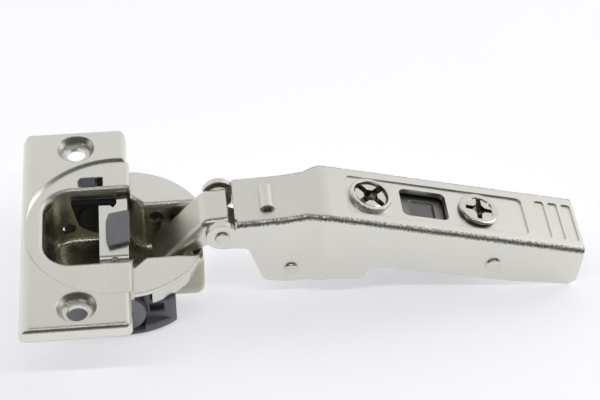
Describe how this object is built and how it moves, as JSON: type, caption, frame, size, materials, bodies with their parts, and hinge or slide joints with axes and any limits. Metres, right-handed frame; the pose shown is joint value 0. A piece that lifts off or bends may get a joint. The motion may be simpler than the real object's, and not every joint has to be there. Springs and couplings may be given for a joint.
{
  "type": "concealed cup hinge",
  "caption": "Concealed door hinge for a round cup boring: drawn cup and flange plate with soft-close dampers, two links on pins, and an adjustable clip arm, shown fully open.",
  "frame": {"origin": "centre of the cup's rim at the door's back face", "axes": "+X towards the arm, +Y along the pins, +Z out of the door's back"},
  "size_m": [0.1175, 0.056, 0.025],
  "materials": {
    "nickel_steel": "satin nickel-plated sheet steel",
    "bright_steel": "bright nickel-plated steel",
    "spring_steel": "plain spring steel",
    "grey_plastic": "matt grey plastic",
    "light_grey_plastic": "matt lighter grey plastic",
    "black_plastic": "matt black plastic"
  },
  "bodies": {
    "cup": {"cup": "nickel_steel", "flange_plate": "nickel_steel", "damper_housing_near": "grey_plastic", "damper_housing_far": "grey_plastic", "damper_disc_near": "light_grey_plastic", "damper_disc_far": "light_grey_plastic", "outer_axle_near": "bright_steel", "outer_axle_far": "bright_steel", "inner_axle": "bright_steel", "lever_axle_near": "bright_steel", "lever_axle_far": "bright_steel"},
    "outer_link": {"outer_link": "nickel_steel"},
    "inner_link": {"inner_link_plate_1": "bright_steel", "inner_link_plate_2": "bright_steel", "inner_link_plate_3": "bright_steel"},
    "arm": {"arm": "nickel_steel", "knuckle_pin": "bright_steel", "link_pin": "bright_steel", "latch_pin": "bright_steel", "latch_spring": "spring_steel"},
    "closing_lever": {"closing_lever": "nickel_steel", "lever_pad": "grey_plastic", "closing_spring": "spring_steel"},
    "damper_lever": {"damper_lever": "black_plastic"},
    "damper_switch": {"damper_switch": "grey_plastic"},
    "mounting_channel": {"mounting_channel": "nickel_steel"},
    "side_screw": {"side_screw": "bright_steel"},
    "depth_cam": {"depth_cam": "bright_steel"},
    "latch_lever": {"latch_lever": "nickel_steel"}
  },
  "joints": [
    {"name": "fold", "type": "hinge", "parent": "cup", "child": "outer_link", "pos_m": [0.0088, 0, -0.0073], "axis": [0, -1, 0], "range_deg": [0, 116.7]},
    {"name": "arm_fold", "type": "hinge", "parent": "outer_link", "child": "arm", "pos_m": [0.0201, 0, 0.00356], "axis": [0, -1, 0], "range_deg": [-11.6, 0.2]},
    {"name": "inner_fold", "type": "hinge", "parent": "cup", "child": "inner_link", "pos_m": [0.0128, 0, -0.0052], "axis": [0, -1, 0], "range_deg": [0, 130.3]},
    {"name": "lever_fold", "type": "hinge", "parent": "cup", "child": "closing_lever", "pos_m": [-0.0029, 0, -0.006], "axis": [0, -1, 0], "range_deg": [0, 95.2]},
    {"name": "damper_fold", "type": "hinge", "parent": "cup", "child": "damper_lever", "pos_m": [-0.0029, 0, -0.006], "axis": [0, -1, 0], "range_deg": [0, 10.2]},
    {"name": "switch_slide", "type": "slide", "parent": "cup", "child": "damper_switch", "axis": [1, 0, 0], "range_m": [0, 0.0017]},
    {"name": "cam_turn", "type": "hinge", "parent": "arm", "child": "depth_cam", "pos_m": [0.07449, 0, -0.00043], "axis": [0.2677, 0, 0.9635], "range_deg": [-50.3, 50.3]},
    {"name": "channel_slide", "type": "slide", "parent": "arm", "child": "mounting_channel", "axis": [0.9635, 0, -0.2677], "range_m": [-0.00146, 0.00146]},
    {"name": "side_turn", "type": "hinge", "parent": "arm", "child": "side_screw", "pos_m": [0.05127, 0, 0.00602], "axis": [0.2677, 0, 0.9635], "range_deg": [-720, 720]},
    {"name": "latch_turn", "type": "hinge", "parent": "arm", "child": "latch_lever", "pos_m": [0.077, 0, -0.0088], "axis": [0, 1, 0], "range_deg": [0, 12], "stiffness_Nm_per_rad": 0.02, "springref_deg": -8.59}
  ],
  "couplings": [
    {"joint": "arm_fold", "follows": "fold", "ratio": -0.097686},
    {"joint": "inner_fold", "follows": "fold", "ratio": 1.1148},
    {"joint": "lever_fold", "follows": "fold", "ratio": 0.81405},
    {"joint": "damper_fold", "follows": "fold", "ratio": 0.08569},
    {"joint": "cam_turn", "follows": "channel_slide", "rad_per_m": -599.5}
  ]
}
